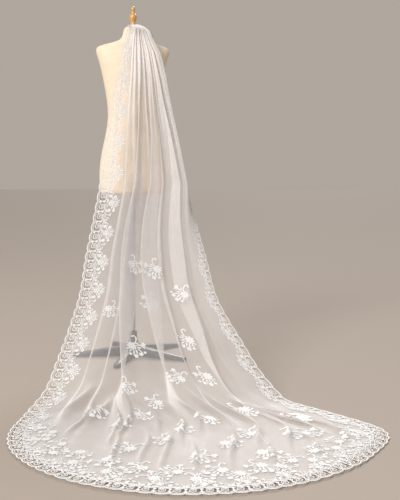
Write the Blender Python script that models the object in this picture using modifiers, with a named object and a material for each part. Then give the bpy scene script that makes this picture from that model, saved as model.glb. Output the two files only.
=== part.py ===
# Bridal veil on a dress form: a long tulle veil with a scalloped lace border and loose lace sprays,
# hung from the neck of a limbless form on a pole, with its train laid out on the floor.
# Metres, +Z up. The origin is on the floor at the pole, and the train runs towards -Y.

import bmesh
import bpy
import numpy as np
from math import ceil, cos, floor, hypot, pi, radians, sin

# The flat cut of the veil.
CLOTH_WIDTH = 1.37
SIDE_LENGTH = 2.20
END_LENGTH = 0.64
HALF_CUT = CLOTH_WIDTH / 2

# Walls and seams.
TULLE_WALL = 0.0010
LACE_WALL = 0.0010
SEAM_GAP = 0.0003
FLOOR_GAP = 0.0016

# Lace border: how far it reaches in from the edge, and its repeat.
LACE_PITCH = 0.147
SCALLOP_DEPTH = 0.009
OPENWORK_OUTER = 0.017
OPENWORK_INNER = 0.046
BAND_INNER = 0.060
SPRAY_REACH = 0.102
TULLE_INSET = 0.050
BORDER_WIDTH = 0.115

# The veil hanging, a row per height from the gathered edge down to the end of the train.
# along: distance down the cloth; x, y, z: middle of the cloth; half_width: half the draped width;
# turn: angle of the row about Z; wrap: how far the side edges lie behind the middle;
# fold: how far the pleats are doubled back, 0 to 1; depth: how far they stand out, 0 to 1;
# gather: height of the small gathers; drop: how much lower the right edge hangs than the middle.
DRAPE = (
    # along, x,     y,      z,     half_width, turn, wrap,  fold, depth, gather, drop
    (0.000, 0.008, -0.030, 1.6445, 0.040, 0.00, 0.000, 0.00, 0.00, 0.0030, 0.000),
    (0.030, 0.014, -0.057, 1.6348, 0.048, 0.00, 0.003, 0.00, 0.02, 0.0040, 0.000),
    (0.065, 0.024, -0.082, 1.6180, 0.060, 0.00, 0.008, 0.04, 0.05, 0.0055, 0.000),
    (0.120, 0.026, -0.104, 1.5780, 0.074, 0.00, 0.014, 0.12, 0.06, 0.0040, 0.000),
    (0.190, 0.027, -0.128, 1.5110, 0.096, 0.00, 0.014, 0.22, 0.09, 0.0032, 0.000),
    (0.310, 0.027, -0.160, 1.3950, 0.118, 0.00, 0.012, 0.38, 0.15, 0.0026, 0.000),
    (0.460, 0.024, -0.182, 1.2460, 0.144, 0.00, 0.012, 0.60, 0.26, 0.0016, 0.000),
    (0.640, 0.027, -0.205, 1.0680, 0.177, 0.00, 0.012, 0.78, 0.42, 0.0010, 0.000),
    (0.820, 0.029, -0.242, 0.8920, 0.206, 0.00, 0.012, 0.92, 0.52, 0.0000, 0.000),
    (1.010, 0.026, -0.312, 0.7150, 0.241, 0.00, 0.010, 1.00, 0.60, 0.0000, 0.000),
    (1.200, 0.020, -0.415, 0.5560, 0.275, 0.00, 0.010, 1.02, 0.66, 0.0000, 0.020),
    (1.390, 0.016, -0.540, 0.4130, 0.302, -0.02, 0.008, 0.98, 0.68, 0.0000, 0.050),
    (1.580, 0.026, -0.680, 0.2850, 0.362, -0.05, 0.004, 0.86, 0.64, 0.0000, 0.080),
    (1.760, 0.034, -0.820, 0.1720, 0.421, -0.09, 0.000, 0.68, 0.46, 0.0000, 0.100),
    (1.910, 0.050, -0.945, 0.0800, 0.485, -0.13, 0.000, 0.48, 0.32, 0.0000, 0.088),
    (2.050, 0.068, -1.075, 0.0240, 0.570, -0.17, 0.000, 0.28, 0.20, 0.0000, 0.040),
    (2.200, 0.095, -1.222, 0.0030, 0.640, -0.21, 0.000, 0.11, 0.12, 0.0000, 0.010),
    (2.500, 0.030, -1.515, 0.0010, 0.652, -0.21, 0.000, 0.05, 0.06, 0.0000, 0.000),
    (2.840, -0.044, -1.847, 0.0005, 0.652, -0.21, 0.000, 0.00, 0.02, 0.0000, 0.000),
)

# Knife pleats that run down the cloth: where each doubled-back leg starts and ends across the cloth,
# and its side (1 comes out in front of the leg before it, -1 goes behind it).
PLEATS = (
    # start, end, side
    (-0.5489, -0.5227, 1),
    (-0.4443, -0.4182, 1),
    (-0.3398, -0.2352, 1),
    (-0.0523, 0.0523, 1),
    (0.1568, 0.1830, -1),
    (0.3136, 0.3920, -1),
)
PLEAT_ANGLE = 2.65
PLEAT_TURN = 0.011
LEFT_SHARE = 0.27
RIGHT_SHARE = 0.08
RIGHT_SHARE_AT_TOP = 0.18
FLAT_RIGHT_START = 0.470

# The right border is turned under between these two distances down the cloth.
TURNED_FROM = 0.52
TURNED_TO = 1.30
TURN_UNDER_ANGLE = 2.95
TURN_UNDER_START = 0.510
TURN_UNDER_END = 0.580

# The grid that the walls are faceted on: fine columns between the borders, rows a lace repeat apart.
MIDDLE_COLUMNS = 44
MIDDLE_HALF_WIDTH = 0.575
GATHER_LENGTH = 4 * 2 * MIDDLE_HALF_WIDTH / MIDDLE_COLUMNS
ROW_STARTS = (
    0.000, 0.022, 0.044, 0.070, 0.105, 0.150, 0.220, 0.294, 0.381, 0.468, 0.560, 0.650, 0.765,
    0.882, 1.029, 1.176, 1.300, 1.410, 1.520, 1.640, 1.760, 1.880, 2.000, 2.100, 2.200, 2.380,
    2.600, 2.850,
)

# Loose sprays of lace sewn on the tulle: across and down the cloth, size, and the way each turns.
SPRAYS = (
    # across, along, size, turn in degrees, mirrored
    (-0.170, 1.278, 0.034, 10, 1),
    (0.112, 1.312, 0.038, -15, -1),
    (0.272, 1.412, 0.034, 20, -1),
    (-0.098, 1.462, 0.036, -10, -1),
    (-0.484, 1.495, 0.030, 25, 1),
    (0.226, 1.660, 0.036, -20, -1),
    (-0.172, 1.720, 0.036, 15, 1),
    (0.098, 1.885, 0.034, 35, -1),
    (-0.222, 1.940, 0.036, 10, 1),
    (0.242, 1.848, 0.036, -30, -1),
    (-0.391, 2.100, 0.040, 30, 1),
    (-0.108, 2.015, 0.034, -10, -1),
    (-0.188, 2.130, 0.034, 15, 1),
    (-0.284, 2.215, 0.042, 20, 1),
    (-0.212, 2.458, 0.040, 30, -1),
    (-0.114, 2.365, 0.036, -20, -1),
    (-0.052, 2.252, 0.036, 10, 1),
    (0.070, 2.165, 0.036, -25, -1),
    (0.042, 2.535, 0.042, 25, 1),
    (0.128, 2.402, 0.038, 15, 1),
    (0.272, 2.070, 0.036, -35, -1),
    (0.186, 2.290, 0.038, 10, -1),
    (0.260, 2.492, 0.040, 30, 1),
    (0.333, 2.300, 0.036, -10, 1),
    (0.471, 2.120, 0.038, 20, -1),
    (0.410, 2.270, 0.034, -15, 1),
)

# Dress form: height, half width, half depth and how far the middle lies from the pole.
FORM_SECTIONS = (
    # z,     half_width, half_depth, y
    (0.805, 0.158, 0.104, 0.010),
    (0.840, 0.166, 0.110, 0.010),
    (0.920, 0.169, 0.112, 0.010),
    (1.010, 0.158, 0.104, 0.008),
    (1.100, 0.136, 0.092, 0.006),
    (1.190, 0.121, 0.084, 0.008),
    (1.280, 0.130, 0.092, 0.014),
    (1.370, 0.146, 0.100, 0.018),
    (1.450, 0.164, 0.090, 0.010),
    (1.500, 0.182, 0.072, 0.004),
    (1.526, 0.187, 0.060, 0.002),
    (1.540, 0.172, 0.053, 0.001),
    (1.552, 0.128, 0.052, 0.000),
    (1.566, 0.076, 0.051, 0.000),
    (1.584, 0.054, 0.050, 0.000),
    (1.618, 0.049, 0.048, 0.000),
    (1.632, 0.045, 0.044, 0.000),
    (1.640, 0.032, 0.031, 0.000),
    (1.645, 0.015, 0.015, 0.000),
)
FORM_SIDES = 20
FORM_BOTTOM = 0.805

# Stand.
POLE_RADIUS = 0.012
HUB_TOP = 0.125
HUB_BOTTOM = 0.050
LEG_COUNT = 5
LEG_REACH = 0.300
LEG_FIRST_ANGLE = radians(-111)
LEG_TIP_HALF_WIDTH = 0.013
LEG_ROOT_RADIUS = 0.040
LEG_TIP_HEIGHT = 0.018
LEG_ROOT_HEIGHT = 0.050

# Turned wooden finial, a row per ring from the top down.
FINIAL_PROFILE = (
    # radius, z
    (0.0000, 1.7430),
    (0.0080, 1.7400),
    (0.0120, 1.7300),
    (0.0070, 1.7170),
    (0.0090, 1.7060),
    (0.0180, 1.6970),
    (0.0195, 1.6860),
    (0.0150, 1.6720),
    (0.0105, 1.6620),
    (0.0135, 1.6550),
    (0.0135, 1.6450),
    (0.0000, 1.6450),
)
HUB_PROFILE = (
    # radius, z
    (0.0000, HUB_TOP),
    (0.0180, HUB_TOP),
    (0.0200, 0.1220),
    (0.0200, 0.0800),
    (0.0300, 0.0640),
    (0.0340, 0.0560),
    (0.0340, HUB_BOTTOM),
    (0.0000, HUB_BOTTOM),
)
TURNED_STEPS = 12

# Colours: red, green, blue, roughness, metallic.
MATERIALS = {
    "tulle": (0.86, 0.84, 0.84, 0.80, 0.0),
    "lace": (0.93, 0.92, 0.92, 0.75, 0.0),
    "form_cloth": (0.82, 0.70, 0.56, 0.85, 0.0),
    "finial_wood": (0.72, 0.42, 0.14, 0.35, 0.0),
    "pole_metal": (0.45, 0.50, 0.55, 0.30, 1.0),
    "base_metal": (0.03, 0.03, 0.035, 0.45, 0.6),
}


def clear_scene():
    for obj in list(bpy.data.objects):
        bpy.data.objects.remove(obj, do_unlink=True)


def make_material(name):
    red, green, blue, roughness, metallic = MATERIALS[name]
    material = bpy.data.materials.new(name)
    material.use_nodes = True
    shader = material.node_tree.nodes["Principled BSDF"]
    shader.inputs["Base Color"].default_value = (red, green, blue, 1.0)
    shader.inputs["Roughness"].default_value = roughness
    shader.inputs["Metallic"].default_value = metallic
    return material


def make_object(name, mesh, material, collection):
    obj = bpy.data.objects.new(name, mesh)
    collection.objects.link(obj)
    obj.data.materials.append(material)
    return obj


def mesh_from_bmesh(name, bm):
    mesh = bpy.data.meshes.new(name)
    bm.to_mesh(mesh)
    bm.free()
    return mesh


def smooth_step(low, high, value):
    t = np.clip((value - low) / (high - low), 0.0, 1.0)
    return t * t * (3.0 - 2.0 * t)


def drape_row(along):
    """One row of the DRAPE table, read smoothly between its rows."""
    table = np.array(DRAPE)
    stations = table[:, 0]
    slopes = np.gradient(table, stations, axis=0)
    k = int(np.clip(np.searchsorted(stations, along) - 1, 0, len(stations) - 2))
    step = stations[k + 1] - stations[k]
    t = (along - stations[k]) / step
    start = (2 * t**3 - 3 * t**2 + 1) * table[k] + (t**3 - 2 * t**2 + t) * step * slopes[k]
    end = (3 * t**2 - 2 * t**3) * table[k + 1] + (t**3 - t**2) * step * slopes[k + 1]
    return start + end


def pleat_angles(across):
    """Angle of the cloth to its row at each point across, with the pleats laid sharp."""
    angles = np.zeros_like(across)
    for start, end, side in PLEATS:
        leg = smooth_step(start - PLEAT_TURN, start + PLEAT_TURN, across)
        leg = leg - smooth_step(end - PLEAT_TURN, end + PLEAT_TURN, across)
        angles = angles + side * PLEAT_ANGLE * leg
    return angles


def pleat_depths(across):
    """How far the sharp pleats stand out from a level row."""
    angles = pleat_angles(across)
    step = across[1] - across[0]
    u = np.cumsum(np.cos(angles)) * step
    d = np.cumsum(np.sin(angles)) * step
    inner = np.abs(across) < TURN_UNDER_START - 0.01
    lean = np.polyfit(u[inner], d[inner], 4)
    return d - np.polyval(lean, np.clip(u, u[inner].min(), u[inner].max()))


def section(along):
    """Points of one row: (across positions, sideways offsets, outward offsets)."""
    row = drape_row(along)
    half_width, wrap, fold, depth, gather = row[4], row[6], row[7], row[8], row[9]
    across = np.linspace(-HALF_CUT, HALF_CUT, 1401)
    step = across[1] - across[0]
    turned = 0.3 + 0.7 * smooth_step(0.0, TURNED_FROM, along)
    turned *= 1.0 - smooth_step(TURNED_TO - 0.85, TURNED_TO, along)
    border_angles = -TURN_UNDER_ANGLE * turned * smooth_step(TURN_UNDER_START, TURN_UNDER_END, across)
    middle = (across > -HALF_CUT + BORDER_WIDTH) & (across < FLAT_RIGHT_START)
    left_share = min(1.0, LEFT_SHARE * 2 * half_width / BORDER_WIDTH)
    right_share = RIGHT_SHARE + (RIGHT_SHARE_AT_TOP - RIGHT_SHARE) * smooth_step(0.6, 0.1, along)
    right_share *= 1.0 + 0.15 * along
    right_share = min(1.0, right_share * 2 * half_width / BORDER_WIDTH)
    border_share = np.where(across < 0, left_share, right_share)
    sideways = 1.0 - fold * (1.0 - np.cos(pleat_angles(across)))
    sideways = sideways * np.cos(border_angles) * step * np.where(middle, 1.0, border_share)
    low, high = 0.0, 2.0
    for _ in range(24):
        squeeze = (low + high) / 2
        if np.ptp(np.cumsum(sideways * np.where(middle, squeeze, 1.0))) > 2 * half_width:
            high = squeeze
        else:
            low = squeeze
    u = np.cumsum(sideways * np.where(middle, squeeze, 1.0))
    u -= (u.max() + u.min()) / 2
    pleats = depth * pleat_depths(across)
    # Near the floor the pleats stand up from it instead of hanging to both sides of the row.
    height = row[3] - row[10] * smooth_step(0.0, HALF_CUT, across)
    lift = (smooth_step(0.15, 0.0, height)) * (smooth_step(0.62, 0.50, np.abs(across)))
    d = pleats - pleats.min() * lift
    d = d + np.cumsum(np.sin(border_angles) * border_share) * step
    wave = np.cos(2 * pi * across / GATHER_LENGTH)
    wave *= 1.0 - smooth_step(0.33, 0.40, across) - smooth_step(0.50, 0.57, -across)
    d = d + gather * wave - wrap * (u / half_width) ** 2
    return across, u, d


def cloth_row(along, columns):
    """Points in space of one row of the cloth, at these places across it."""
    row = drape_row(along)
    ahead = drape_row(min(along + 0.004, DRAPE[-1][0]))
    behind = drape_row(max(along - 0.004, 0.0))
    tangent = ahead[1:4] - behind[1:4]
    tangent /= np.linalg.norm(tangent)
    side = np.array((cos(row[5]), sin(row[5]), 0.0))
    outward = np.cross(tangent, side)
    outward /= np.linalg.norm(outward)
    across, u, d = section(along)
    u = np.interp(columns, across, u)
    d = np.interp(columns, across, d)
    points = row[1:4] + np.outer(u, side) + np.outer(d, outward)
    points[:, 2] -= row[10] * smooth_step(0.0, 1.0, u / row[4])
    # Where the cloth reaches the floor it lies on it instead of passing through.
    height = points[:, 2] - FLOOR_GAP
    softness = 0.006
    points[:, 2] = FLOOR_GAP + 0.5 * (height + np.sqrt(height**2 + softness**2))
    return points


class ClothGrid:
    """The faceted cloth: points, outward normals and the flat place of each grid line."""

    def __init__(self):
        middle = np.linspace(-MIDDLE_HALF_WIDTH, MIDDLE_HALF_WIDTH, MIDDLE_COLUMNS + 1)
        borders = np.array((HALF_CUT - BAND_INNER, HALF_CUT + 0.004))
        self.columns = np.concatenate([-borders[::-1], middle, borders])
        self.rows = np.array(ROW_STARTS)
        inside = np.clip(self.columns, -HALF_CUT, HALF_CUT)
        self.points = np.array([cloth_row(min(q, DRAPE[-1][0]), inside) for q in self.rows])
        for row in self.points:
            row[0] += (row[0] - row[1]) * 0.067
            row[-1] += (row[-1] - row[-2]) * 0.067
        self.points[-1] += (self.points[-1] - self.points[-2]) * 0.07
        down = np.gradient(self.points, self.rows, axis=0)
        # Each normal halves the angle between the facets beside it, however long they are.
        steps = np.diff(self.points, axis=1)
        steps /= np.linalg.norm(steps, axis=2, keepdims=True)
        sideways = np.zeros_like(self.points)
        sideways[:, :-1] += steps
        sideways[:, 1:] += steps
        normals = np.cross(down, sideways)
        self.normals = normals / np.linalg.norm(normals, axis=2, keepdims=True)


def split(bm, point, normal):
    geometry = bm.verts[:] + bm.edges[:] + bm.faces[:]
    bmesh.ops.bisect_plane(bm, geom=geometry, dist=1e-5, plane_co=point, plane_no=normal)


def lay_on_cloth(bm, grid, height):
    """Splits a flat piece on the facets of the cloth and lays it on them, this far out."""
    across = [v.co.x for v in bm.verts]
    along = [v.co.y for v in bm.verts]
    for x in grid.columns:
        if min(across) < x < max(across):
            split(bm, (x, 0, 0), (1, 0, 0))
    for y in grid.rows:
        if min(along) < y < max(along):
            split(bm, (0, y, 0), (0, 1, 0))
    for vert in bm.verts:
        vert.co.x = np.interp(vert.co.x, grid.columns, np.arange(len(grid.columns)))
        vert.co.y = np.interp(vert.co.y, grid.rows, np.arange(len(grid.rows)))
    lines = [v.co.x - v.co.y for v in bm.verts]
    for k in range(ceil(min(lines)), floor(max(lines)) + 1):
        split(bm, (k, 0, 0), (1, -1, 0))
    bmesh.ops.remove_doubles(bm, verts=bm.verts[:], dist=1e-3)
    bmesh.ops.dissolve_degenerate(bm, edges=bm.edges[:], dist=1e-3)
    # Faces on one facet become one face, then the whole piece is cut to triangles while still flat.
    for face in bm.faces:
        place = face.calc_center_median()
        i, j = floor(place.x), floor(place.y)
        face.material_index = 2 * (j * len(grid.columns) + i) + int(place.x - i >= place.y - j)
    bmesh.ops.dissolve_limit(
        bm, angle_limit=0.01, verts=bm.verts[:], edges=bm.edges[:], delimit={"MATERIAL"}
    )
    bmesh.ops.triangulate(bm, faces=bm.faces[:])
    for face in bm.faces:
        face.material_index = 0
    lifted = ClothView(grid, height)
    for vert in bm.verts:
        vert.co = lifted.place(vert.co.x, vert.co.y)


class ClothView:
    """The faceted cloth moved out by one height."""

    def __init__(self, grid, height):
        self.lifted = grid.points + height * grid.normals

    def place(self, u, v):
        rows, columns = self.lifted.shape[:2]
        i = int(min(max(floor(u + 1e-7), 0), columns - 2))
        j = int(min(max(floor(v + 1e-7), 0), rows - 2))
        f, g = u - i, v - j
        first, last = self.lifted[j, i], self.lifted[j + 1, i + 1]
        if f >= g:
            corner = self.lifted[j, i + 1]
            return first + f * (corner - first) + g * (last - corner)
        corner = self.lifted[j + 1, i]
        return first + g * (corner - first) + f * (last - corner)


def add_wall(obj, thickness, offset):
    wall = obj.modifiers.new("wall", "SOLIDIFY")
    wall.thickness = thickness
    wall.offset = offset
    wall.use_even_offset = False


def edge_point(distance, inset):
    """Flat place this far along the cut edge, from the top of the left side round to the right."""
    a, b = HALF_CUT, END_LENGTH
    if distance <= SIDE_LENGTH:
        return -a + inset, distance
    if distance >= EDGE_LENGTH - SIDE_LENGTH:
        return a - inset, EDGE_LENGTH - distance
    angle = np.interp(distance - SIDE_LENGTH, ARC_LENGTHS, ARC_ANGLES)
    x, y = -a * cos(angle), b * sin(angle)
    nx, ny = -b * cos(angle), a * sin(angle)
    length = hypot(nx, ny)
    return x - inset * nx / length, SIDE_LENGTH + y - inset * ny / length


ARC_ANGLES = np.linspace(0.0, pi, 721)
ARC_POINTS = np.stack([-HALF_CUT * np.cos(ARC_ANGLES), END_LENGTH * np.sin(ARC_ANGLES)], axis=1)
ARC_STEPS = np.linalg.norm(np.diff(ARC_POINTS, axis=0), axis=1)
ARC_LENGTHS = np.concatenate([[0.0], np.cumsum(ARC_STEPS)])
EDGE_LENGTH = 2 * SIDE_LENGTH + float(ARC_LENGTHS[-1])


def flat_polygon(points):
    bm = bmesh.new()
    bm.faces.new([bm.verts.new((x, y, 0.0)) for x, y in points])
    bm.normal_update()
    if bm.faces[:][0].normal.z > 0:
        bmesh.ops.reverse_faces(bm, faces=bm.faces[:])
    return bm


def make_tulle(grid, material, collection):
    """The panel of tulle, down to where the lace border takes over."""
    count = 60
    distances = [0.0]
    distances += [SIDE_LENGTH + t * (EDGE_LENGTH - 2 * SIDE_LENGTH) / count for t in range(count + 1)]
    distances += [EDGE_LENGTH]
    bm = flat_polygon([edge_point(s, TULLE_INSET) for s in distances])
    lay_on_cloth(bm, grid, TULLE_WALL / 2)
    obj = make_object("tulle_panel", mesh_from_bmesh("tulle_panel", bm), material, collection)
    add_wall(obj, TULLE_WALL, -1.0)
    return obj


def lace_strip(start, end):
    """Flat strip of the border between two distances along the edge, with its openwork left out."""
    bm = bmesh.new()
    repeats = round((end - start) / LACE_PITCH)
    pitch = (end - start) / repeats
    # Each repeat is three open rings between bars; the sprays grow from two of the bars.
    parts = (0.0, 0.075, 0.333, 0.408, 0.667, 0.742, 1.0)
    stations = [start + pitch * (r + part) for r in range(repeats) for part in parts[:-1]]
    stations.append(end)
    verts = {}

    def vert(k, inset):
        key = (k, round(inset, 6))
        if key not in verts:
            x, y = edge_point(stations[k], inset)
            verts[key] = bm.verts.new((x, y, 0.0))
        return verts[key]

    def cell(k, low, high, low_next=None, high_next=None):
        low_next = low if low_next is None else low_next
        high_next = high if high_next is None else high_next
        corners = (vert(k, low), vert(k + 1, low_next), vert(k + 1, high_next), vert(k, high))
        bm.faces.new(corners)

    def scallop(k):
        return SCALLOP_DEPTH if k % 2 == 0 else 0.0

    for k in range(len(stations) - 1):
        part = k % 6
        is_bar = part % 2 == 0
        outer, outer_next = scallop(k), scallop(k + 1)
        if k == 0:
            outer = 0.004
        if k == len(stations) - 2:
            outer_next = 0.004
        cell(k, outer, OPENWORK_OUTER, outer_next, OPENWORK_OUTER)
        if is_bar or k == len(stations) - 2:
            cell(k, OPENWORK_OUTER, OPENWORK_INNER)
        cell(k, OPENWORK_INNER, BAND_INNER)
        if part == 1:
            cell(k, BAND_INNER, 0.080, BAND_INNER, SPRAY_REACH)
        if part == 2:
            cell(k, BAND_INNER, SPRAY_REACH, BAND_INNER, SPRAY_REACH - 0.004)
        if part == 3:
            cell(k, BAND_INNER, SPRAY_REACH - 0.004, BAND_INNER, 0.074)
    bm.normal_update()
    for face in bm.faces:
        if face.normal.z > 0:
            face.normal_flip()
    return bm


def make_lace(name, start, end, grid, material, collection):
    bm = lace_strip(start, end)
    lay_on_cloth(bm, grid, TULLE_WALL / 2 + SEAM_GAP)
    obj = make_object(name, mesh_from_bmesh(name, bm), material, collection)
    add_wall(obj, LACE_WALL, 1.0)
    return obj


def spray_outline(size, mirrored):
    """Lobed outline of a loose spray, about this far from its middle."""
    points = []
    for k in range(10):
        angle = 2 * pi * k / 10
        reach = size * (0.82 + 0.20 * cos(3 * angle - 0.6) + 0.10 * cos(2 * angle + 1.0))
        points.append((mirrored * reach * cos(angle), reach * sin(angle)))
    return points


def make_spray(index, row, grid, material, collection):
    across, along, size, degrees, mirrored = row
    turn = radians(degrees)
    outline = spray_outline(size, mirrored)
    turned = [(x * cos(turn) - y * sin(turn), x * sin(turn) + y * cos(turn)) for x, y in outline]
    bm = flat_polygon([(across + x, along + y) for x, y in turned])
    lay_on_cloth(bm, grid, TULLE_WALL / 2 + SEAM_GAP)
    name = f"spray_{index:02d}"
    obj = make_object(name, mesh_from_bmesh(name, bm), material, collection)
    add_wall(obj, LACE_WALL, 1.0)
    return obj


def form_ring(bm, z, half_width, half_depth, middle):
    ring = []
    for k in range(FORM_SIDES):
        angle = 2 * pi * k / FORM_SIDES
        squareness = 0.90
        x = half_width * np.sign(cos(angle)) * abs(cos(angle)) ** squareness
        y = middle + half_depth * np.sign(sin(angle)) * abs(sin(angle)) ** squareness
        ring.append(bm.verts.new((x, y, z)))
    return ring


def make_form(material, collection):
    """The limbless body, lofted through its sections and closed flat below and on the neck."""
    bm = bmesh.new()
    rings = [form_ring(bm, *row) for row in FORM_SECTIONS]
    for lower, upper in zip(rings, rings[1:]):
        for k in range(FORM_SIDES):
            after = (k + 1) % FORM_SIDES
            bm.faces.new((lower[k], lower[after], upper[after], upper[k]))
    bm.faces.new(list(reversed(rings[0])))
    bm.faces.new(rings[-1])
    bmesh.ops.recalc_face_normals(bm, faces=bm.faces[:])
    return make_object("dress_form", mesh_from_bmesh("dress_form", bm), material, collection)


def make_turned(name, profile, material, collection):
    """A turned piece: its profile, at +X from the top down, spun about Z."""
    mesh = bpy.data.meshes.new(name)
    verts = [(radius, 0.0, z) for radius, z in profile]
    mesh.from_pydata(verts, [(k, k + 1) for k in range(len(verts) - 1)], [])
    obj = make_object(name, mesh, material, collection)
    screw = obj.modifiers.new("turn", "SCREW")
    screw.angle = 2 * pi
    screw.steps = TURNED_STEPS
    screw.render_steps = TURNED_STEPS
    screw.use_merge_vertices = True
    screw.merge_threshold = 0.0001
    return obj


def make_pole(material, collection):
    bpy.ops.mesh.primitive_cylinder_add(
        vertices=12,
        radius=POLE_RADIUS,
        depth=FORM_BOTTOM - HUB_TOP,
        location=(0.0, 0.0, (FORM_BOTTOM + HUB_TOP) / 2),
    )
    pole = bpy.context.object
    pole.name = "pole"
    pole.data.materials.append(material)
    for old in list(pole.users_collection):
        old.objects.unlink(pole)
    collection.objects.link(pole)
    return pole


def make_base(material, collection):
    """The low star of legs, flat underneath, each leg falling in height to its tip."""
    bm = bmesh.new()
    outline = []
    for leg in range(LEG_COUNT):
        angle = LEG_FIRST_ANGLE + 2 * pi * leg / LEG_COUNT
        half = pi / LEG_COUNT
        root = (LEG_ROOT_RADIUS * cos(angle - half), LEG_ROOT_RADIUS * sin(angle - half))
        outline.append((*root, LEG_ROOT_HEIGHT))
        for side in (-1, 1):
            across = side * LEG_TIP_HALF_WIDTH
            x = LEG_REACH * cos(angle) - across * sin(angle)
            y = LEG_REACH * sin(angle) + across * cos(angle)
            outline.append((x, y, LEG_TIP_HEIGHT))
    lower = [bm.verts.new((x, y, 0.0)) for x, y, z in outline]
    upper = [bm.verts.new((x, y, z)) for x, y, z in outline]
    top = bm.verts.new((0.0, 0.0, LEG_ROOT_HEIGHT))
    bottom = bm.verts.new((0.0, 0.0, 0.0))
    count = len(outline)
    for k in range(count):
        after = (k + 1) % count
        bm.faces.new((lower[k], lower[after], upper[after], upper[k]))
        bm.faces.new((upper[k], upper[after], top))
        bm.faces.new((lower[after], lower[k], bottom))
    bmesh.ops.recalc_face_normals(bm, faces=bm.faces[:])
    return make_object("stand_base", mesh_from_bmesh("stand_base", bm), material, collection)


def build():
    clear_scene()
    collection = bpy.data.collections.new("bridal_veil")
    bpy.context.scene.collection.children.link(collection)
    materials = {name: make_material(name) for name in MATERIALS}
    grid = ClothGrid()
    make_tulle(grid, materials["tulle"], collection)
    hem_end = EDGE_LENGTH - SIDE_LENGTH
    join = 0.0010
    make_lace("lace_left", 0.002, SIDE_LENGTH - join, grid, materials["lace"], collection)
    make_lace("lace_hem", SIDE_LENGTH + join, hem_end - join, grid, materials["lace"], collection)
    make_lace("lace_right", hem_end + join, EDGE_LENGTH - 0.002, grid, materials["lace"], collection)
    for index, row in enumerate(SPRAYS, start=1):
        make_spray(index, row, grid, materials["lace"], collection)
    make_form(materials["form_cloth"], collection)
    make_turned("finial", FINIAL_PROFILE, materials["finial_wood"], collection)
    make_turned("base_hub", HUB_PROFILE, materials["base_metal"], collection)
    make_pole(materials["pole_metal"], collection)
    make_base(materials["base_metal"], collection)


build()
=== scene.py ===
from math import cos, hypot, pi, radians, sin

import bmesh
import bpy
import numpy as np
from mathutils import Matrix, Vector


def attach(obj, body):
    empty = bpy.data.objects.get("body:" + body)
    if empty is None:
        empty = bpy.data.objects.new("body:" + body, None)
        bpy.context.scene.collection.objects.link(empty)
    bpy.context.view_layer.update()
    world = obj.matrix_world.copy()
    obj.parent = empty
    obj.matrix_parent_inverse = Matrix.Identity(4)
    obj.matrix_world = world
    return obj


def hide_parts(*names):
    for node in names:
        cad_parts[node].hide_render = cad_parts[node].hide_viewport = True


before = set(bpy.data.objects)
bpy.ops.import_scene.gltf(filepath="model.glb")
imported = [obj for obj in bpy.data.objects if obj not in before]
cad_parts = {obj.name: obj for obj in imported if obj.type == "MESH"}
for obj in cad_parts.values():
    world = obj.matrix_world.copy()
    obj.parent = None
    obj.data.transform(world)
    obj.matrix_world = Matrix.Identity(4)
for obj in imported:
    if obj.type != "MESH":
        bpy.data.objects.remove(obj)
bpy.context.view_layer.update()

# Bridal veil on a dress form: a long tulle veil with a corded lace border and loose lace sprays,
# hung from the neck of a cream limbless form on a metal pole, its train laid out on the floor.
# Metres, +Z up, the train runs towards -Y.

# The flat cut of the veil and its border.
CLOTH_WIDTH = 1.37
SIDE_LENGTH = 2.20
END_LENGTH = 0.64
CLOTH_LENGTH = SIDE_LENGTH + END_LENGTH
HALF_CUT = CLOTH_WIDTH / 2
TULLE_INSET = 0.050
BORDER_WIDTH = 0.115
LACE_PITCH = 0.147

# Heights above the cloth and above the floor.
LACE_HEIGHT = 0.0013
CORD_RISE = 0.0012
LEAF_RISE = 0.0010
DISC_RISE = 0.0016
MOST_SPRAY_RISE = 0.0014
FLOOR_GAP = 0.0016
FLOOR_SOFTNESS = 0.006

# How finely the cloth is worked out: the points of a row, the grid that flat shapes are laid on,
# and the mesh of the tulle. The packing of the net is held below MOST_PACKING.
SECTION_POINTS = 1401
GRID_ROWS = 569
GRID_COLUMNS = 687
TULLE_ROWS = 380
TULLE_COLUMNS = 250
MOST_PACKING = 8.0

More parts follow.
